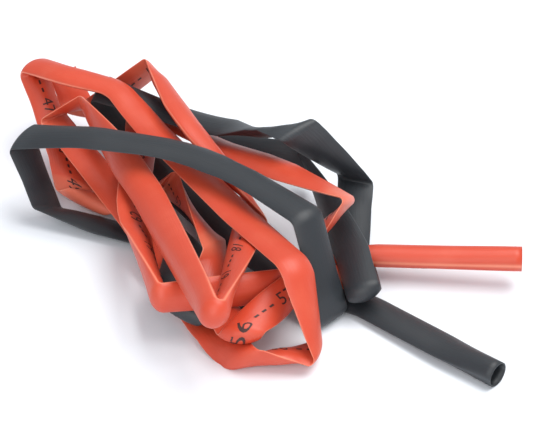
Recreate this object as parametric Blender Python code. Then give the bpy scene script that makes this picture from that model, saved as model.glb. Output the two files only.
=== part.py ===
"""A hank of two lengths of heat shrink tube, one red and one black.

Each tube is thin-walled polyolefin, flattened as it comes off its reel, and folded back and forth into
a loose bundle. It is open right through, and one round end of each sticks out to the right.
Metres, +Z up, the hank lying on z = 0, centred on its box in X and Y.
"""
from math import atan2, ceil, cos, degrees, pi, radians, sin, sqrt

import bpy
import numpy as np

# Driving dimensions, in millimetres.
TUBE_OUTSIDE = 7.0
WALL = 0.3
FLAT_HALF = 1.4
CREASE_HALF = 0.8
EDGE_PINCH = 1.5
END_RUN = 28.0
CREASE_RUN = 4.0
EASE_RUN = 10.0

# Facets: points round a section, and the steps along a leg, a crease and a bend.
SIDES = 10
LEG_STEP = 15.0
TWIST_STEP = 14.0
CREASE_STEP = 62.0
BEND_STEP = 18.0

# A route is a list of stations: kind, x, y, z in millimetres, roll in degrees and radius.
# At a fold the strip turns over on its crease; at a bend it turns edgeways or sweeps over.
# An end is the tube's mouth, sprung round; a flat is a mouth still pressed flat.
# The roll is the tilt of the strip's width above the level, seen along the strip.
RED_ROUTE = [
    ("flat", -65.5, 120.3, 20.0, 0, 0),
    ("fold", -58.7, 118.1, 6.5, -30, 1.3),
    ("fold", -37.0, 112.2, 25.0, -79, 1.3),
    ("bend", -24.6, 81.7, 27.5, 30, 30),
    ("fold", -5.5, 54.4, 16.3, -10, 1.3),
    ("fold", -12.7, -7.4, 28.7, 68, 1.3),
    ("bend", -34.3, 54.6, 21.0, 25, 60),
    ("fold", -56.8, 98.7, 21.0, -80, 1.3),
    ("fold", -65.6, 100.2, 16.0, 10, 1.3),
    ("bend", -41.4, 58.9, 7.6, -5, 60),
    ("bend", -17.1, 19.9, 1.5, 0, 30),
    ("fold", -7.7, 3.5, 4.0, 25, 1.3),
    ("fold", 10.8, 4.2, 4.8, -20, 1.3),
    ("bend", 6.9, 19.6, 24.2, -25, 6),
    ("bend", -8.6, 43.7, 21.5, -5, 40),
    ("bend", -34.4, 83.2, 23.0, -5, 20),
    ("bend", -47.0, 100.4, 27.0, 0, 12),
    ("bend", -62.7, 106.3, 29.0, 0, 20),
    ("fold", -74.8, 117.3, 24.0, -9, 1.3),
    ("bend", -65.9, 100.1, 8.0, 10, 20),
    ("fold", -55.9, 78.1, 3.5, -5, 1.8),
    ("bend", -39.4, 74.1, 5.0, 15, 6),
    ("fold", -30.4, 74.6, 9.0, -60, 1.3),
    ("fold", -16.1, 40.3, 13.0, -40, 1.3),
    ("bend", -15.8, 26.3, 9.2, 12, 8),
    ("fold", -6.9, 5.0, 10.0, 0, 1.3),
    ("fold", 4.4, 22.5, 12.7, 57, 1.6),
    ("fold", -27.9, 15.0, 16.8, -50, 1.3),
    ("bend", -39.1, 54.4, 14.5, -30, 60),
    ("fold", -37.4, 102.3, 15.0, 15, 1.3),
    ("bend", -18.6, 87.8, 16.0, 15, 60),
    ("bend", 0.1, 66.8, 22.0, 15, 60),
    ("fold", 20.5, 47.4, 23.5, -35, 1.3),
    ("fold", 11.9, 38.4, 14.5, 20, 1.3),
    ("fold", 15.8, 33.8, 6.6, -30, 1.3),
    ("fold", 17.8, 42.8, 5.0, 5, 1.3),
    ("end", 69.9, 40.0, 9.0, 0, 0),
]
BLACK_ROUTE = [
    ("end", 59.0, -1.4, 3.6, 0, 0),
    ("bend", 24.1, 30.6, 1.7, 0, 20),
    ("bend", -5.4, 32.4, 1.7, 0, 15),
    ("bend", -13.9, 22.8, 5.4, 0, 6),
    ("fold", -22.9, 20.7, 7.6, -20, 2.4),
    ("bend", -25.4, 30.4, 10.7, 0, 6),
    ("fold", -25.9, 54.9, 4.5, 0, 2.4),
    ("bend", -39.2, 59.8, 2.2, -10, 10),
    ("bend", -49.4, 64.1, 2.2, -10, 30),
    ("fold", -64.9, 69.9, 5.5, 51, 1.3),
    ("fold", -71.8, 77.6, 24.0, -39, 1.3),
    ("bend", -52.4, 72.2, 29.0, -5, 40),
    ("bend", -24.6, 63.2, 29.0, 0, 60),
    ("bend", -6.4, 48.7, 28.0, 5, 60),
    ("bend", 10.5, 32.5, 27.5, 0, 3),
    ("fold", 17.1, 20.6, 3.4, 0, 2),
    ("bend", 11.0, 24.9, 6.5, 0, 6),
    ("bend", 4.0, 31.5, 7.0, 0, 20),
    ("bend", -12.4, 54.0, 3.0, 5, 60),
    ("bend", -32.6, 88.1, 3.0, 10, 20),
    ("bend", -42.9, 104.9, 7.0, 10, 10),
    ("fold", -50.5, 103.9, 23.0, -20, 1.3),
    ("bend", -20.8, 93.8, 19.5, 20, 40),
    ("bend", -2.2, 77.3, 27.0, 40, 20),
    ("fold", 7.8, 70.3, 31.0, 24, 1.3),
    ("fold", 25.1, 79.9, 7.0, 1, 1.3),
    ("bend", 27.0, 52.2, 1.9, 0, 6),
    ("fold", 27.1, 24.5, 8.6, 4, 2),
    ("bend", 23.3, 38.8, 11.0, 30, 10),
    ("fold", 6.8, 89.3, 9.5, -10, 1.3),
    ("flat", -23.9, 93.6, 8.0, -20, 0),
]

UP = np.array([0.0, 0.0, 1.0])


def unit(v):
    return v / np.linalg.norm(v)


def square_to(v, axis):
    """v with its share along the axis taken out."""
    return v - (v @ axis) * axis


def half_width(half_thickness):
    """The half width that keeps the tube's own girth at this half thickness."""
    girth = pi * TUBE_OUTSIDE
    low, high = half_thickness, girth / 4
    for _ in range(40):
        a = (low + high) / 2
        b = half_thickness
        if pi * (3 * (a + b) - sqrt((3 * a + b) * (a + 3 * b))) > girth:
            high = a
        else:
            low = a
    return low


def across(heading, roll):
    """The strip's width direction: level and square to the heading, tilted up by the roll."""
    level = np.cross(heading, UP)
    level = unit(level) if np.linalg.norm(level) > 1e-6 else np.array([1.0, 0.0, 0.0])
    rise = np.cross(level, heading)
    rise = rise if rise[2] >= 0 else -rise
    return cos(radians(roll)) * level + sin(radians(roll)) * rise


def eased(x):
    x = min(max(x, 0.0), 1.0)
    return x * x * (3 - 2 * x)


def solve_joints(route):
    """Where each station's turn begins and ends, and the crease frame of each fold."""
    count = len(route)
    points = [np.array(s[1:4], float) for s in route]
    begin = [p.copy() for p in points]
    end = [p.copy() for p in points]
    frames = [None] * count
    for _ in range(12):
        legs = [unit(begin[i + 1] - end[i]) for i in range(count - 1)]
        for i, (kind, _x, _y, _z, roll, radius) in enumerate(route):
            d1 = legs[max(i - 1, 0)]
            d2 = legs[min(i, count - 2)]
            heading = unit(d2 - d1) if kind == "fold" else unit(d1 + d2)
            e = across(heading, roll)
            frames[i] = {"e": e}
            if kind != "fold":
                continue
            u1 = unit(square_to(d1, e))
            u2 = unit(square_to(d2, e))
            turn = np.cross(u1, u2)
            g = e if turn @ e >= 0 else -e
            beta = atan2(np.linalg.norm(turn), u1 @ u2)
            slant = (d1 @ e) / sqrt(max(1e-9, 1 - (d1 @ e) ** 2))
            half = radius * beta * slant / 2
            begin[i] = points[i] - radius * np.cross(g, u1) - half * e
            end[i] = points[i] - radius * np.cross(g, u2) + half * e
            frames[i].update(g=g, beta=beta, u1=u1, slant=slant)
    return points, begin, end, legs, frames


def leg_marks(length, twist, from_kind, to_kind):
    """Distances along a leg at which it has a section of its own."""
    if length <= CREASE_RUN:
        return []
    lead = CREASE_RUN if from_kind == "fold" else 0.0
    tail = CREASE_RUN if to_kind == "fold" else 0.0
    inner = length - lead - tail
    if inner <= WALL:
        return [length / 2]
    steps = max(ceil(inner / LEG_STEP), ceil(abs(degrees(twist)) / TWIST_STEP))
    marks = [lead + inner * j / steps for j in range(steps + 1)]
    if lead == 0:
        marks = marks[1:]
    if tail == 0:
        marks = marks[:-1]
    return marks


def leg_half(q, length, from_kind, to_kind):
    """The half thickness of the strip at distance q along a leg."""
    half = FLAT_HALF
    for gap, kind in ((q, from_kind), (length - q, to_kind)):
        if kind == "fold":
            half = min(half, CREASE_HALF + (FLAT_HALF - CREASE_HALF) * eased(gap / EASE_RUN))
        if kind == "end":
            half = max(half, FLAT_HALF + (TUBE_OUTSIDE / 2 - FLAT_HALF) * (1 - eased(gap / END_RUN)))
    return half


def strip_sections(route):
    """Sections along the tube: centre, width vector, thickness vector and half thickness."""
    points, begin, end, legs, frames = solve_joints(route)
    count = len(route)
    widths = [frames[0]["e"]]
    for i in range(1, count):
        e = frames[i]["e"]
        same = square_to(widths[-1], legs[i - 1]) @ square_to(e, legs[i - 1]) >= 0
        widths.append(e if same else -e)
    out = []
    for i, (kind, _x, _y, _z, _roll, radius) in enumerate(route):
        e = widths[i]
        frame = frames[i]
        if kind == "fold":
            facing = 1.0 if e @ frame["e"] > 0 else -1.0
            slant = facing * frame["slant"]
            steps = max(2, ceil(degrees(frame["beta"]) / CREASE_STEP))
            for j in range(steps + 1):
                f = j / steps
                angle = frame["beta"] * f
                u = frame["u1"] * cos(angle) + np.cross(frame["g"], frame["u1"]) * sin(angle)
                along = radius * frame["beta"] * frame["slant"] * (f - 0.5)
                centre = points[i] - radius * np.cross(frame["g"], u) + frame["e"] * along
                out.append((centre, e * sqrt(1 + slant * slant), np.cross(u, e), CREASE_HALF))
        elif kind == "bend":
            d1, d2 = legs[i - 1], legs[i]
            angle = np.arccos(np.clip(d1 @ d2, -1, 1))
            axis = unit(np.cross(d1, d2))
            begin[i] = points[i] - d1 * radius * np.tan(angle / 2)
            end[i] = points[i] + d2 * radius * np.tan(angle / 2)
            steps = max(1, ceil(degrees(angle) / BEND_STEP))
            hub = begin[i] + radius * np.cross(axis, d1)
            for j in range(steps + 1):
                a = angle * j / steps
                t = d1 * cos(a) + np.cross(axis, d1) * sin(a)
                width = unit(square_to(e, t))
                out.append((hub - radius * np.cross(axis, t), width, np.cross(t, width), FLAT_HALF))
        else:
            t = legs[0] if i == 0 else legs[-1]
            width = unit(square_to(e, t))
            half = TUBE_OUTSIDE / 2 if kind == "end" else FLAT_HALF
            out.append((points[i], width, np.cross(t, width), half))
        if i == count - 1:
            break
        t = legs[i]
        after = route[i + 1]
        stop = begin[i + 1]
        if after[0] == "bend":
            angle = np.arccos(np.clip(t @ legs[i + 1], -1, 1))
            stop = points[i + 1] - t * after[5] * np.tan(angle / 2)
        length = (stop - end[i]) @ t
        w1, w2 = square_to(widths[i], t), square_to(widths[i + 1], t)
        k1 = (widths[i] @ t) / np.linalg.norm(w1) if kind == "fold" else 0.0
        k2 = (widths[i + 1] @ t) / np.linalg.norm(w2) if after[0] == "fold" else 0.0
        w1, w2 = unit(w1), unit(w2)
        twist = atan2(np.cross(w1, w2) @ t, w1 @ w2)
        for q in leg_marks(length, twist, kind, after[0]):
            f = q / length
            width = w1 * cos(twist * f) + np.cross(t, w1) * sin(twist * f)
            slant = k1 * (1 - f) + k2 * f
            half = leg_half(q, length, kind, after[0])
            out.append((end[i] + t * q, width + slant * t, np.cross(t, width), half))
    return out


def loops_of(sections, inset):
    """The points of each section, an ellipse drawn in by the inset, and by more of it at the edges."""
    loops = []
    for centre, width, through, half in sections:
        pinch = 1 + EDGE_PINCH * (1 - half / (TUBE_OUTSIDE / 2))
        a, b = half_width(half) - inset * pinch, half - inset
        for j in range(SIDES):
            angle = 2 * pi * j / SIDES
            loops.append(centre + cos(angle) * a * width + sin(angle) * b * through)
    return loops


def skin_faces(rows, first, outward):
    """Quads between neighbouring sections of one skin."""
    faces = []
    for i in range(rows - 1):
        for j in range(SIDES):
            k = (j + 1) % SIDES
            a, b = first + i * SIDES + j, first + i * SIDES + k
            c, d = b + SIDES, a + SIDES
            faces.append((a, b, c, d) if outward else (a, d, c, b))
    return faces


def end_ring(row, first, inner, outward):
    """The flat ring of cut wall at one end of the tube."""
    faces = []
    for j in range(SIDES):
        k = (j + 1) % SIDES
        a, b = first + row * SIDES + j, first + row * SIDES + k
        c, d = inner + row * SIDES + k, inner + row * SIDES + j
        faces.append((a, b, c, d) if outward else (d, c, b, a))
    return faces


def plastic(name, colour, roughness):
    material = bpy.data.materials.new(name)
    material.use_nodes = True
    shader = material.node_tree.nodes["Principled BSDF"]
    shader.inputs["Base Color"].default_value = (*colour, 1.0)
    shader.inputs["Roughness"].default_value = roughness
    shader.inputs["Metallic"].default_value = 0.0
    material.diffuse_color = (*colour, 1.0)
    return material


def signed_volume(points, faces):
    """Positive when the quads face outwards."""
    total = 0.0
    for a, b, c, d in faces:
        total += points[a] @ np.cross(points[b], points[c])
        total += points[a] @ np.cross(points[c], points[d])
    return total


def tube_object(name, sections, shift, material, collection):
    """One tube: an outer skin, an inner skin and a flat ring at each cut end."""
    outer = loops_of(sections, 0.0)
    points = [(p - shift) / 1000.0 for p in outer + loops_of(sections, WALL)]
    rows = len(sections)
    inner = rows * SIDES
    faces = skin_faces(rows, 0, True) + skin_faces(rows, inner, False)
    faces += end_ring(0, 0, inner, False) + end_ring(rows - 1, 0, inner, True)
    mesh = bpy.data.meshes.new(name)
    mesh.from_pydata([tuple(p) for p in points], [], faces)
    mesh.validate()
    if signed_volume(points, faces) < 0:
        mesh.flip_normals()
    mesh.materials.append(material)
    mesh.shade_smooth()
    mesh.set_sharp_from_angle(angle=radians(50))
    obj = bpy.data.objects.new(name, mesh)
    collection.objects.link(obj)
    return obj


def build():
    for obj in list(bpy.data.objects):
        bpy.data.objects.remove(obj, do_unlink=True)
    hank = bpy.data.collections.new("heat_shrink_tube")
    bpy.context.scene.collection.children.link(hank)
    red = strip_sections(RED_ROUTE)
    black = strip_sections(BLACK_ROUTE)
    cloud = np.array(loops_of(red, 0.0) + loops_of(black, 0.0))
    low, high = cloud.min(axis=0), cloud.max(axis=0)
    shift = np.array([(low[0] + high[0]) / 2, (low[1] + high[1]) / 2, low[2]])
    tube_object("red_tube", red, shift, plastic("red_polyolefin", (0.72, 0.10, 0.06), 0.5), hank)
    tube_object("black_tube", black, shift, plastic("black_polyolefin", (0.035, 0.04, 0.046), 0.5), hank)


build()
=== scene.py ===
"""The looks of a hank of red and black heat shrink tube, lying on a pale floor."""

from math import atan2, ceil, cos, degrees, pi, radians, sin, sqrt

import bmesh
import bpy
import numpy as np
from mathutils import Matrix, Vector


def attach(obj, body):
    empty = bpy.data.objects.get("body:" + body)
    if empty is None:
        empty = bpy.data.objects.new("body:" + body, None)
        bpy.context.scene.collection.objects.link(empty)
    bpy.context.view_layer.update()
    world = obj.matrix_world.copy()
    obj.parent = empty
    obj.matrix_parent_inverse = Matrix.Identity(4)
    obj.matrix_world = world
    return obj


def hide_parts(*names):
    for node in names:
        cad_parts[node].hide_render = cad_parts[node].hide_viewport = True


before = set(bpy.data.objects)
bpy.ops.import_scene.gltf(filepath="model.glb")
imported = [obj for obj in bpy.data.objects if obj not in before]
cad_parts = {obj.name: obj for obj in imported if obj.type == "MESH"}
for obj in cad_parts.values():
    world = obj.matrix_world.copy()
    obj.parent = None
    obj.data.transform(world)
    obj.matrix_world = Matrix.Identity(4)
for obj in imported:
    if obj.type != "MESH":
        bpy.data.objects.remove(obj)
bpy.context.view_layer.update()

# The studio
# A wide flat sheet of pale paper runs under the hank and on past the edges of the picture.
# One broad soft light hangs above and to the right, and one as broad fills from the front.
PAPER_HALF = 3.0
PAPER_COLOUR = (0.84, 0.87, 0.92, 1.0)
PAPER_ROUGHNESS = 0.9
AIR_COLOUR = (0.90, 0.95, 1.0, 1.0)
AIR_STRENGTH = 0.60
paper_mesh = bpy.data.meshes.new("floor_paper")
grid = bmesh.new()
bmesh.ops.create_grid(grid, x_segments=1, y_segments=1, size=PAPER_HALF)
grid.to_mesh(paper_mesh)
grid.free()
paper = bpy.data.objects.new("floor_paper", paper_mesh)
bpy.context.scene.collection.objects.link(paper)
paper_white = bpy.data.materials.new("paper_white")
paper_white.use_nodes = True
paper_shader = paper_white.node_tree.nodes["Principled BSDF"]
paper_shader.inputs["Base Color"].default_value = PAPER_COLOUR
paper_shader.inputs["Roughness"].default_value = PAPER_ROUGHNESS
paper_mesh.materials.append(paper_white)


def soft_light(name, place, aim, width, height, watts, colour):
    """A rectangular lamp at a place, turned towards the point it lights."""
    lamp = bpy.data.lights.new(name, "AREA")
    lamp.shape = "RECTANGLE"
    lamp.size = width
    lamp.size_y = height
    lamp.energy = watts
    lamp.color = colour
    holder = bpy.data.objects.new(name, lamp)
    holder.location = place
    holder.rotation_euler = (Vector(aim) - Vector(place)).to_track_quat("-Z", "Y").to_euler()
    bpy.context.scene.collection.objects.link(holder)


soft_light("key_light", place=(0.35, 0.08, 0.95), aim=(0, 0, 0), width=0.9, height=0.7,
           watts=10.0, colour=(1.0, 0.99, 0.965))
soft_light("fill_light", place=(-0.15, -0.9, 0.55), aim=(0, 0, 0), width=0.9, height=0.9,
           watts=5.5, colour=(1.0, 0.99, 0.97))

world = bpy.data.worlds.new("studio_air")
world.use_nodes = True
sky = world.node_tree.nodes["Background"]
sky.inputs["Color"].default_value = AIR_COLOUR
sky.inputs["Strength"].default_value = AIR_STRENGTH
bpy.context.scene.world = world
bpy.context.scene.view_settings.view_transform = "Standard"

# The tube as stock
# Thin-walled polyolefin tube, extruded round, expanded, and pressed flat on its reel.
# A flattened section keeps the round tube's girth, and is thinnest where it is creased.
TUBE_OUTSIDE = 0.0070
WALL = 0.0003
FLAT_HALF = 0.0014
CREASE_HALF = 0.0008
EDGE_HALF = 0.00036
END_RUN = 0.028
CREASE_RUN = 0.004
EASE_RUN = 0.010
SETTLING_ROUNDS = 120
GIRTH_HALVINGS = 40
NEARLY_UPRIGHT = 1e-6
LEAST_SQUARE = 1e-9
UP = np.array([0.0, 0.0, 1.0])


def unit(v):
    """v made one long."""
    return v / np.linalg.norm(v)


def square_to(v, axis):
    """v with its share along the axis taken out."""
    return v - (v @ axis) * axis


def half_width(half_thickness):
    """The half width that keeps the tube's own girth at this half thickness."""
    girth = pi * TUBE_OUTSIDE
    low, high = half_thickness, girth / 4
    for _ in range(GIRTH_HALVINGS):
        a = (low + high) / 2
        b = half_thickness
        if pi * (3 * (a + b) - sqrt((3 * a + b) * (a + 3 * b))) > girth:
            high = a
        else:
            low = a
    return low


def across(heading, roll):
    """The strip's width direction: level and square to the heading, tilted up by the roll."""
    level = np.cross(heading, UP)
    level = unit(level) if np.linalg.norm(level) > NEARLY_UPRIGHT else np.array([1.0, 0.0, 0.0])
    rise = np.cross(level, heading)
    rise = rise if rise[2] >= 0 else -rise
    return cos(radians(roll)) * level + sin(radians(roll)) * rise


def eased(x):
    """A soft step from 0 to 1 as x goes from 0 to 1."""
    x = min(max(x, 0.0), 1.0)
    return x * x * (3 - 2 * x)


def solve_joints(route):
    """Where each station's turn begins and ends, and the crease frame of each fold."""
    count = len(route)
    points = [np.array(s[1:4], float) for s in route]
    begin = [p.copy() for p in points]
    end = [p.copy() for p in points]
    frames = [None] * count
    for _ in range(SETTLING_ROUNDS):
        legs = [unit(begin[i + 1] - end[i]) for i in range(count - 1)]
        for i, (kind, _x, _y, _z, roll, radius, _half, _leg) in enumerate(route):
            d1 = legs[max(i - 1, 0)]
            d2 = legs[min(i, count - 2)]
            heading = unit(d2 - d1) if kind == "fold" else unit(d1 + d2)
            e = across(heading, roll)
            frames[i] = {"e": e}
            if kind != "fold":
                continue
            u1 = unit(square_to(d1, e))
            u2 = unit(square_to(d2, e))
            turn = np.cross(u1, u2)
            g = e if turn @ e >= 0 else -e
            beta = atan2(np.linalg.norm(turn), u1 @ u2)
            slant = (d1 @ e) / sqrt(max(LEAST_SQUARE, 1 - (d1 @ e) ** 2))
            half = radius * beta * slant / 2
            # Each round goes half the way, so that neighbouring folds settle together.
            begin[i] = (begin[i] + points[i] - radius * np.cross(g, u1) - half * e) / 2
            end[i] = (end[i] + points[i] - radius * np.cross(g, u2) + half * e) / 2
            frames[i].update(g=g, beta=beta, u1=u1, slant=slant)
    return points, begin, end, legs, frames


def leg_marks(length, twist, from_kind, to_kind, leg_step, twist_step):
    """Distances along a leg at which it has a section of its own."""
    if length <= CREASE_RUN:
        return []
    lead = CREASE_RUN if from_kind == "fold" else 0.0
    tail = CREASE_RUN if to_kind == "fold" else 0.0
    inner = length - lead - tail
    if inner <= WALL:
        return [length / 2]
    steps = max(ceil(inner / leg_step), ceil(abs(degrees(twist)) / twist_step))
    marks = [lead + inner * j / steps for j in range(steps + 1)]
    if lead == 0:
        marks = marks[1:]
    if tail == 0:
        marks = marks[:-1]
    return marks


def leg_half(q, length, start, after):
    """The half thickness at distance q along the leg between two stations."""
    half = start[7]
    for gap, station in ((q, start), (length - q, after)):
        run = min(END_RUN if station[0] == "end" else EASE_RUN, length / 2)
        half += (station[6] - start[7]) * (1 - eased(gap / run))
    return half


def strip_sections(route, leg_step, twist_step, crease_step, bend_step):
    """Sections along the tube: centre, width vector, thickness vector and half thickness."""
    points, begin, end, legs, frames = solve_joints(route)
    count = len(route)
    widths = [frames[0]["e"]]
    for i in range(1, count):
        e = frames[i]["e"]
        same = square_to(widths[-1], legs[i - 1]) @ square_to(e, legs[i - 1]) >= 0
        widths.append(e if same else -e)
    out = []
    for i, (kind, _x, _y, _z, _roll, radius, half, _leg) in enumerate(route):
        e = widths[i]
        crease = frames[i]
        if kind == "fold":
            facing = 1.0 if e @ crease["e"] > 0 else -1.0
            slant = facing * crease["slant"]
            steps = max(2, ceil(degrees(crease["beta"]) / crease_step))
            for j in range(steps + 1):
                f = j / steps
                angle = crease["beta"] * f
                u = crease["u1"] * cos(angle) + np.cross(crease["g"], crease["u1"]) * sin(angle)
                along = radius * crease["beta"] * crease["slant"] * (f - 0.5)
                centre = points[i] - radius * np.cross(crease["g"], u) + crease["e"] * along
                out.append((centre, e * sqrt(1 + slant * slant), np.cross(u, e), half))
        elif kind == "bend":
            d1, d2 = legs[i - 1], legs[i]
            angle = np.arccos(np.clip(d1 @ d2, -1, 1))
            axis = unit(np.cross(d1, d2))
            begin[i] = points[i] - d1 * radius * np.tan(angle / 2)
            end[i] = points[i] + d2 * radius * np.tan(angle / 2)
            steps = max(1, ceil(degrees(angle) / bend_step))
            hub = begin[i] + radius * np.cross(axis, d1)
            for j in range(steps + 1):
                a = angle * j / steps
                t = d1 * cos(a) + np.cross(axis, d1) * sin(a)
                width = unit(square_to(e, t))
                out.append((hub - radius * np.cross(axis, t), width, np.cross(t, width), half))
        else:
            t = legs[0] if i == 0 else legs[-1]
            width = unit(square_to(e, t))
            out.append((points[i], width, np.cross(t, width), half))
        if i == count - 1:
            break
        t = legs[i]
        after = route[i + 1]
        stop = begin[i + 1]
        if after[0] == "bend":
            angle = np.arccos(np.clip(t @ legs[i + 1], -1, 1))
            stop = points[i + 1] - t * after[5] * np.tan(angle / 2)
        length = (stop - end[i]) @ t
        w1, w2 = square_to(widths[i], t), square_to(widths[i + 1], t)
        k1 = (widths[i] @ t) / np.linalg.norm(w1) if kind == "fold" else 0.0
        k2 = (widths[i + 1] @ t) / np.linalg.norm(w2) if after[0] == "fold" else 0.0
        w1, w2 = unit(w1), unit(w2)
        twist = atan2(np.cross(w1, w2) @ t, w1 @ w2)
        for q in leg_marks(length, twist, kind, after[0], leg_step, twist_step):
            f = q / length
            width = w1 * cos(twist * f) + np.cross(t, w1) * sin(twist * f)
            slant = k1 * (1 - f) + k2 * f
            half = leg_half(q, length, route[i], after)
            out.append((end[i] + t * q, width + slant * t, np.cross(t, width), half))
    return out


# How the hank lies
# Both tubes are folded back and forth by hand, over and under each other. A station is a
# kind, x, y and z, the roll of the strip's width above the level, the radius of its turn, and
# the half thickness there and along the leg that follows.
RED_ROUTE = [
    ("flat", -0.0646, 0.1203, 0.0200, 0, 0.0000, 0.0014, 0.0016),
    ("fold", -0.0582, 0.1141, 0.0095, -55, 0.0013, 0.0007, 0.0015),
    ("fold", -0.0369, 0.1114, 0.0255, 85, 0.0013, 0.0009, 0.0022),
    ("bend", -0.0246, 0.0817, 0.0275, 30, 0.0300, 0.0022, 0.0024),
    ("fold", -0.0055, 0.0544, 0.0163, -10, 0.0013, 0.0008, 0.0020),
    ("fold", -0.0137, -0.0049, 0.0282, 68, 0.0013, 0.0027, 0.0023),
    ("bend", -0.0343, 0.0546, 0.0210, 25, 0.0600, 0.0022, 0.0018),
    ("fold", -0.0572, 0.0987, 0.0210, -70, 0.0013, 0.0012, 0.0014),
    ("fold", -0.0647, 0.1008, 0.0160, 10, 0.0013, 0.0007, 0.0015),
    ("bend", -0.0381, 0.0598, 0.0076, -5, 0.0600, 0.0015, 0.0015),
    ("bend", -0.0171, 0.0199, 0.0015, 0, 0.0300, 0.0015, 0.0015),
    ("fold", -0.0067, 0.0051, 0.0040, 45, 0.0013, 0.0014, 0.0022),
    ("fold", 0.0112, 0.0077, 0.0048, -3, 0.0013, 0.0012, 0.0018),
    ("bend", 0.0069, 0.0183, 0.0242, -10, 0.0060, 0.0016, 0.0016),
    ("bend", -0.0086, 0.0437, 0.0215, -5, 0.0400, 0.0015, 0.0015),
    ("bend", -0.0344, 0.0832, 0.0230, -5, 0.0200, 0.0015, 0.0015),
    ("bend", -0.0460, 0.0999, 0.0270, -5, 0.0120, 0.0020, 0.0022),
    ("bend", -0.0621, 0.1056, 0.0280, 0, 0.0200, 0.0023, 0.0023),
    ("fold", -0.0716, 0.1138, 0.0240, -5, 0.0018, 0.0020, 0.0025),
    ("bend", -0.0645, 0.0985, 0.0080, 10, 0.0200, 0.0020, 0.0015),
    ("fold", -0.0543, 0.0747, 0.0042, -5, 0.0018, 0.0007, 0.0015),
    ("bend", -0.0390, 0.0726, 0.0050, 15, 0.0060, 0.0015, 0.0015),
    ("fold", -0.0304, 0.0746, 0.0090, -60, 0.0013, 0.0007, 0.0015),
    ("fold", -0.0161, 0.0403, 0.0130, -40, 0.0013, 0.0007, 0.0015),
    ("bend", -0.0158, 0.0263, 0.0092, 12, 0.0080, 0.0015, 0.0015),
    ("fold", -0.0074, 0.0081, 0.0100, 0, 0.0013, 0.0019, 0.0020),
    ("fold", 0.0044, 0.0229, 0.0127, 60, 0.0016, 0.0022, 0.0022),
    ("fold", -0.0279, 0.0150, 0.0168, -85, 0.0013, 0.0024, 0.0024),
    ("bend", -0.0391, 0.0544, 0.0145, -30, 0.0600, 0.0015, 0.0015),
    ("fold", -0.0374, 0.1023, 0.0150, 15, 0.0013, 0.0007, 0.0015),
    ("bend", -0.0186, 0.0878, 0.0160, 15, 0.0600, 0.0015, 0.0015),
    ("bend", 0.0001, 0.0663, 0.0220, 0, 0.0600, 0.0015, 0.0015),
    ("fold", 0.0205, 0.0474, 0.0235, -35, 0.0013, 0.0007, 0.0015),
    ("fold", 0.0125, 0.0393, 0.0145, -5, 0.0013, 0.0007, 0.0015),
    ("fold", 0.0169, 0.0333, 0.0066, -30, 0.0013, 0.0007, 0.0015),
    ("fold", 0.0178, 0.0442, 0.0050, 5, 0.0013, 0.0008, 0.0031),
    ("end", 0.0699, 0.0400, 0.0090, 0, 0.0000, 0.0035, 0.0015),
]
BLACK_ROUTE = [
    ("end", 0.0590, -0.0014, 0.0036, 0, 0.0000, 0.0035, 0.0015),
    ("bend", 0.0241, 0.0306, 0.0017, 0, 0.0200, 0.0015, 0.0015),
    ("bend", -0.0051, 0.0354, 0.0017, 0, 0.0120, 0.0015, 0.0015),
    ("bend", -0.0137, 0.0249, 0.0054, 0, 0.0060, 0.0015, 0.0015),
    ("fold", -0.0229, 0.0207, 0.0076, -20, 0.0024, 0.0007, 0.0015),
    ("bend", -0.0254, 0.0304, 0.0107, 0, 0.0060, 0.0015, 0.0015),
    ("fold", -0.0259, 0.0549, 0.0045, 0, 0.0024, 0.0007, 0.0015),
    ("bend", -0.0392, 0.0598, 0.0022, -10, 0.0100, 0.0015, 0.0015),
    ("bend", -0.0494, 0.0641, 0.0022, -10, 0.0300, 0.0015, 0.0015),
    ("fold", -0.0643, 0.0699, 0.0055, 47, 0.0013, 0.0007, 0.0015),
    ("fold", -0.0707, 0.0760, 0.0240, -16, 0.0013, 0.0010, 0.0015),
    ("bend", -0.0522, 0.0707, 0.0290, -5, 0.0400, 0.0015, 0.0015),
    ("bend", -0.0246, 0.0642, 0.0290, 0, 0.0600, 0.0015, 0.0015),
    ("bend", -0.0065, 0.0520, 0.0280, 5, 0.0600, 0.0015, 0.0015),
    ("bend", 0.0100, 0.0352, 0.0275, 0, 0.0030, 0.0015, 0.0015),
    ("fold", 0.0156, 0.0235, 0.0034, 0, 0.0020, 0.0006, 0.0014),
    ("bend", 0.0113, 0.0266, 0.0065, 0, 0.0060, 0.0015, 0.0015),
    ("bend", 0.0043, 0.0354, 0.0070, 0, 0.0150, 0.0015, 0.0015),
    ("bend", -0.0117, 0.0573, 0.0030, 5, 0.0300, 0.0015, 0.0015),
    ("bend", -0.0326, 0.0881, 0.0030, 10, 0.0200, 0.0015, 0.0015),
    ("bend", -0.0429, 0.1049, 0.0070, 10, 0.0100, 0.0015, 0.0015),
    ("fold", -0.0505, 0.1039, 0.0230, -20, 0.0013, 0.0007, 0.0015),
    ("bend", -0.0208, 0.0917, 0.0195, 0, 0.0400, 0.0015, 0.0015),
    ("bend", -0.0022, 0.0757, 0.0270, 35, 0.0200, 0.0015, 0.0015),
    ("fold", 0.0078, 0.0703, 0.0310, 21, 0.0013, 0.0007, 0.0015),
    ("fold", 0.0251, 0.0799, 0.0070, -2, 0.0013, 0.0007, 0.0015),
    ("bend", 0.0236, 0.0522, 0.0019, 0, 0.0060, 0.0018, 0.0014),
    ("fold", 0.0253, 0.0265, 0.0090, 22, 0.0014, 0.0018, 0.0018),
    ("bend", 0.0228, 0.0406, 0.0110, 25, 0.0100, 0.0016, 0.0014),
    ("fold", 0.0091, 0.0862, 0.0095, 55, 0.0013, 0.0007, 0.0015),
    ("flat", -0.0219, 0.0979, 0.0080, 50, 0.0000, 0.0014, 0.0015),
]
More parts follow.
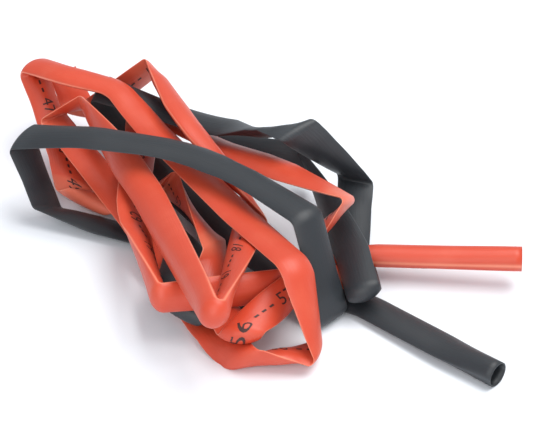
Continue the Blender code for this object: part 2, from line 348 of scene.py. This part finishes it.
# What puts the hank's centre over the origin and its underside on the floor.
SHIFT = np.array([-0.00484, 0.05758, 0.00012])

# The camera
# It stands in front of the hank and looks down at it, as the photograph does.
CAMERA_TILT = radians(37.0)
CAMERA_DISTANCE = 0.450
CAMERA_AIM = Vector((0.0, 0.050, 0.015)) - Vector(SHIFT)
PICTURE_WIDTH = 539
FOCAL_PIXELS = 1609.0
SENSOR_WIDTH = 36.0
NEAREST_SEEN = 0.01
lens = bpy.data.cameras.new("camera")
lens.sensor_fit = "HORIZONTAL"
lens.sensor_width = SENSOR_WIDTH
lens.lens = SENSOR_WIDTH * FOCAL_PIXELS / PICTURE_WIDTH
lens.clip_start = NEAREST_SEEN
camera = bpy.data.objects.new("camera", lens)
sight = Vector((0.0, cos(CAMERA_TILT), -sin(CAMERA_TILT)))
camera.location = CAMERA_AIM - sight * CAMERA_DISTANCE
camera.rotation_euler = (pi / 2 - CAMERA_TILT, 0.0, 0.0)
bpy.context.scene.collection.objects.link(camera)
bpy.context.scene.camera = camera


# The finish of the plastic
# Soft polyolefin with a satin skin, faint streaks along the extrusion and a random pale mottle,
# and a paler line painted along the two edges and over the creases as a painted highlight, with the
# edges less rough.
STREAKS_ALONG = 90.0
STREAKS_AROUND = 60.0
CLOUD_SCALE = 120.0
GRAIN_SCALE = 2600.0
EDGE_SHARPNESS = 60.0
# Painted highlight: how far the edges and creases are painted towards the paler colour.
EDGE_PAINTED_HIGHLIGHT = 0.6
CREASE_PAINTED_HIGHLIGHT = 0.3
CLOUD_WEAR = 0.22
STREAK_GLOSS = 0.12
EDGE_GLOSS = 0.08
STREAK_HEIGHT = 0.35
CLOUD_HEIGHT = 0.5
BUMP_STRENGTH = 0.5
BUMP_DEPTH = 0.00035
PLASTIC_IOR = 1.5
GLOW = 0.08
GLOW_SPREAD = (1.0, 0.35, 0.25)
GLOW_DEPTH = 0.0006


class Wire:
    """A socket in a material's node tree, on which ordinary sums add Math nodes."""

    def __init__(self, tree, socket):
        self.tree = tree
        self.socket = socket

    def node(self, kind, settings=None, output=0, **inputs):
        """A node of any kind, its settings first and then what its sockets take."""
        made = self.tree.nodes.new(kind)
        for name, value in (settings or {}).items():
            setattr(made, name, value)
        for name, value in inputs.items():
            key = int(name[1:]) if name[0] == "_" and name[1:].isdigit() else name.replace("_", " ")
            self.feed(made.inputs[key], value)
        return Wire(self.tree, made.outputs[output])

    def feed(self, socket, value):
        """Links a value that is a wire to the socket, and types in any other."""
        if isinstance(value, Wire):
            self.tree.links.new(value.socket, socket)
        else:
            socket.default_value = value

    def math(self, operation, *values):
        """A Math node on wires and numbers."""
        made = self.tree.nodes.new("ShaderNodeMath")
        made.operation = operation
        for socket, value in zip(made.inputs, values):
            self.feed(socket, value)
        return Wire(self.tree, made.outputs[0])

    def __add__(self, other):
        return self.math("ADD", self, other)

    def __radd__(self, other):
        return self.math("ADD", other, self)

    def __sub__(self, other):
        return self.math("SUBTRACT", self, other)

    def __rsub__(self, other):
        return self.math("SUBTRACT", other, self)

    def __mul__(self, other):
        return self.math("MULTIPLY", self, other)

    def __rmul__(self, other):
        return self.math("MULTIPLY", other, self)

    def __pow__(self, other):
        return self.math("POWER", self, other)


def polyolefin(name, body, highlight_and_mottle_colour, roughness, grain_height):
    """The plastic of one tube: body colour, a paler colour painted as a highlight at edges and
    creases and mixed in as random mottle, and gloss.
    """
    material = bpy.data.materials.new(name)
    material.use_nodes = True
    tree = material.node_tree
    shader = tree.nodes["Principled BSDF"]
    start = Wire(tree, None)
    strip = start.node("ShaderNodeUVMap", {"uv_map": "strip"})
    along = start.node("ShaderNodeSeparateXYZ", None, 0, Vector=strip)
    around = Wire(tree, along.socket.node.outputs[1])
    # The fourth output holds the Object coordinates.
    place = start.node("ShaderNodeTexCoord", None, 3)
    # Around runs from 0 to 1, and the flattened edges are at 0 and a half.
    edge = start.math("ABSOLUTE", start.math("COSINE", around * (2 * pi)))
    rim = edge ** EDGE_SHARPNESS
    stretched = start.node(
        "ShaderNodeCombineXYZ", None, 0, X=along * STREAKS_ALONG, Y=around * STREAKS_AROUND)
    streak = start.node("ShaderNodeTexNoise", None, 0, Vector=stretched, Scale=1.0, Detail=2.0)
    cloudy = start.node("ShaderNodeTexNoise", None, 0, Vector=place, Scale=CLOUD_SCALE, Detail=3.0)
    grain = start.node("ShaderNodeTexNoise", None, 0, Vector=place, Scale=GRAIN_SCALE, Detail=2.0)
    crease = start.node("ShaderNodeAttribute", {"attribute_name": "crease"}, 2)
    # The rim and crease terms paint a highlight into the colour; the cloud term is a random pale
    # mottle.
    mottle_and_painted_highlight = rim * EDGE_PAINTED_HIGHLIGHT + crease * CREASE_PAINTED_HIGHLIGHT + (cloudy - 0.5) * CLOUD_WEAR
    mottle_and_painted_highlight = start.math("MINIMUM", mottle_and_painted_highlight, 1.0)
    mottle_and_painted_highlight = start.math("MAXIMUM", mottle_and_painted_highlight, 0.0)
    colour = start.node("ShaderNodeMix", {"data_type": "RGBA"}, 2, Factor=mottle_and_painted_highlight, _6=body, _7=highlight_and_mottle_colour)
    tree.links.new(colour.socket, shader.inputs["Base Color"])
    gloss = roughness + (streak - 0.5) * STREAK_GLOSS - rim * EDGE_GLOSS
    start.feed(shader.inputs["Roughness"], gloss)
    height = streak * STREAK_HEIGHT + cloudy * CLOUD_HEIGHT + grain * grain_height
    bump = start.node(
        "ShaderNodeBump", None, 0, Strength=BUMP_STRENGTH, Distance=BUMP_DEPTH, Height=height)
    tree.links.new(bump.socket, shader.inputs["Normal"])
    shader.inputs["IOR"].default_value = PLASTIC_IOR
    shader.inputs["Subsurface Weight"].default_value = GLOW
    shader.inputs["Subsurface Radius"].default_value = GLOW_SPREAD
    shader.inputs["Subsurface Scale"].default_value = GLOW_DEPTH
    return material


# The second colour of each is the painted highlight at edges and creases, also used for the random
# mottle.
red_plastic = polyolefin(
    "red_plastic", body=(0.58, 0.062, 0.026, 1), highlight_and_mottle_colour=(0.90, 0.32, 0.20, 1),
    roughness=0.42, grain_height=0.10)
black_plastic = polyolefin(
    "black_plastic", body=(0.020, 0.023, 0.028, 1), highlight_and_mottle_colour=(0.060, 0.066, 0.074, 1),
    roughness=0.48, grain_height=0.12)

# The two tubes
# Each is one extruded piece, open right through. A flat grid is rolled up round the strip's
# sections, its seam is welded, and a thin wall is given to it inwards.
# The longest step along a leg, and the most degrees to a step of twist, crease and bend.
FINE_STEPS = (0.0020, 6.0, 12.0, 6.0)
SIDES = 32
SEAM_GAP = 1e-7


def on_section(centre, width, through, half, turn):
    """A point of a section. A flattened one is a lens with tight rounded edges, an end is round."""
    angle = 2 * pi * turn
    opened = min(max((half - FLAT_HALF) / (TUBE_OUTSIDE / 2 - FLAT_HALF), 0.0), 1.0)
    edge = EDGE_HALF + (half - EDGE_HALF) * opened
    rise = sin(angle) * (edge + (half - edge) * abs(sin(angle)))
    return centre + cos(angle) * half_width(half) * width + rise * through


def tube_piece(name, route, plastic, node):
    """Rolls a grid round the sections of one route.

    It returns the piece, its centre line, its sections and each one's distance along it.
    """
    sections = strip_sections(route, *FINE_STEPS)
    centres = np.array([s[0] for s in sections])
    steps = np.linalg.norm(np.diff(centres, axis=0), axis=1)
    along = np.concatenate([[0.0], np.cumsum(steps)])
    rows = len(sections) - 1
    sheet = bmesh.new()
    strip = sheet.loops.layers.uv.new("strip")
    creased = sheet.verts.layers.float.new("crease")
    bmesh.ops.create_grid(sheet, x_segments=rows, y_segments=SIDES, size=0.5, calc_uvs=False)
    flat = [(v, v.co.copy()) for v in sheet.verts]
    left = min(co.x for _, co in flat)
    down = min(co.y for _, co in flat)
    place = {}
    for vert, co in flat:
        row = round((co.x - left) * rows)
        turn = co.y - down
        centre, width, through, half = sections[row]
        place[vert] = (row, turn)
        vert.co = on_section(centre, width, through, half, turn) - SHIFT
        vert[creased] = 1 - eased((half - CREASE_HALF) / (FLAT_HALF - CREASE_HALF))
    for face in sheet.faces:
        for loop in face.loops:
            row, turn = place[loop.vert]
            loop[strip].uv = (along[row], turn)
    bmesh.ops.remove_doubles(sheet, verts=sheet.verts, dist=SEAM_GAP)
    bmesh.ops.recalc_face_normals(sheet, faces=sheet.faces)
    mesh = bpy.data.meshes.new(name)
    sheet.to_mesh(mesh)
    sheet.free()
    mesh.materials.append(plastic)
    mesh.shade_smooth()
    piece = bpy.data.objects.new(name, mesh)
    bpy.context.scene.collection.objects.link(piece)
    wall = piece.modifiers.new("wall", "SOLIDIFY")
    wall.thickness = WALL
    wall.offset = -1.0
    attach(piece, "root")
    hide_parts(node)
    return piece, centres - SHIFT, sections, along


red_piece, red_path, red_sections, red_along = tube_piece(
    "red_shrink_tube", RED_ROUTE, red_plastic, "red_tube")
black_piece, black_path, _sections, _along = tube_piece(
    "black_shrink_tube", BLACK_ROUTE, black_plastic, "black_tube")

# For each tube, the width of its flattened strip is worked out here and then left unused.
for tube, path, mouth in ((red_piece, red_path, -1), (black_piece, black_path, 0)):
    2 * half_width(FLAT_HALF)

# The print
# Dark ink stamped on one face of the red tube as it was extruded: plain length marks, a
# number at every step and short dashes between. Each mark is a skin that follows the strip.
MARK_STEP = 0.016
MARK_HEIGHT = 0.0036
DASH = (0.0014, 0.0006)
DASHES = 3
INK_LIFT = 0.00006
FIRST_MARK = 0.012
FIRST_NUMBER = 10
# Shares of a step: where the first dash stands after its number, and how far the dashes run.
FIRST_DASH = 0.34
DASH_RUN = 0.34
FONT_PER_FIGURE = 1.4
CURVE_STEPS = 3
INK_COLOUR = (0.045, 0.012, 0.010, 1.0)
INK_ROUGHNESS = 0.55

ink = bpy.data.materials.new("black_ink")
ink.use_nodes = True
ink_shader = ink.node_tree.nodes["Principled BSDF"]
ink_shader.inputs["Base Color"].default_value = INK_COLOUR
ink_shader.inputs["Roughness"].default_value = INK_ROUGHNESS


def on_strip(s, w, sections, along):
    """The point of the strip's upper face at a distance along it and across it."""
    j = int(np.clip(np.searchsorted(along, s) - 1, 0, len(along) - 2))
    f = (s - along[j]) / (along[j + 1] - along[j])
    centre, width, through, half = (
        np.asarray(a) * (1 - f) + np.asarray(b) * f for a, b in zip(sections[j], sections[j + 1]))
    turn = np.arccos(np.clip(w / half_width(float(half)), -1, 1)) / (2 * pi)
    return on_section(centre, width, through, float(half), turn) + INK_LIFT * through - SHIFT


def mark_outline(text):
    """The flat mesh of a number, centred on its own origin, as vertices and faces."""
    curve = bpy.data.curves.new("mark", "FONT")
    curve.body = text
    curve.size = MARK_HEIGHT * FONT_PER_FIGURE
    curve.align_x = "CENTER"
    curve.align_y = "CENTER"
    curve.resolution_u = CURVE_STEPS
    holder = bpy.data.objects.new("mark", curve)
    flat = bpy.data.meshes.new_from_object(holder)
    bpy.data.objects.remove(holder)
    return flat


def print_piece(name, sections, along):
    """All the marks along one face of the strip, joined in one mesh."""
    marks = bmesh.new()
    for number in range(int((along[-1] - FIRST_MARK) / MARK_STEP)):
        s = FIRST_MARK + number * MARK_STEP
        mark = bmesh.new()
        mark.from_mesh(mark_outline(str(FIRST_NUMBER + number)))
        for k in range(DASHES):
            x = MARK_STEP * FIRST_DASH + k * MARK_STEP * DASH_RUN / (DASHES - 1)
            bmesh.ops.create_grid(mark, x_segments=2, y_segments=1, size=0.5, matrix=(
                Matrix.Translation((x, 0, 0)) @ Matrix.Diagonal((*DASH, 1.0, 1.0))))
        bmesh.ops.subdivide_edges(mark, edges=mark.edges, cuts=1)
        for vert in mark.verts:
            vert.co = on_strip(s + vert.co.x, vert.co.y, sections, along)
        placed = bpy.data.meshes.new("mark")
        mark.to_mesh(placed)
        mark.free()
        marks.from_mesh(placed)
    mesh = bpy.data.meshes.new(name)
    marks.to_mesh(mesh)
    marks.free()
    mesh.materials.append(ink)
    piece = bpy.data.objects.new(name, mesh)
    bpy.context.scene.collection.objects.link(piece)
    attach(piece, "root")


print_piece("length_marks", red_sections, red_along)
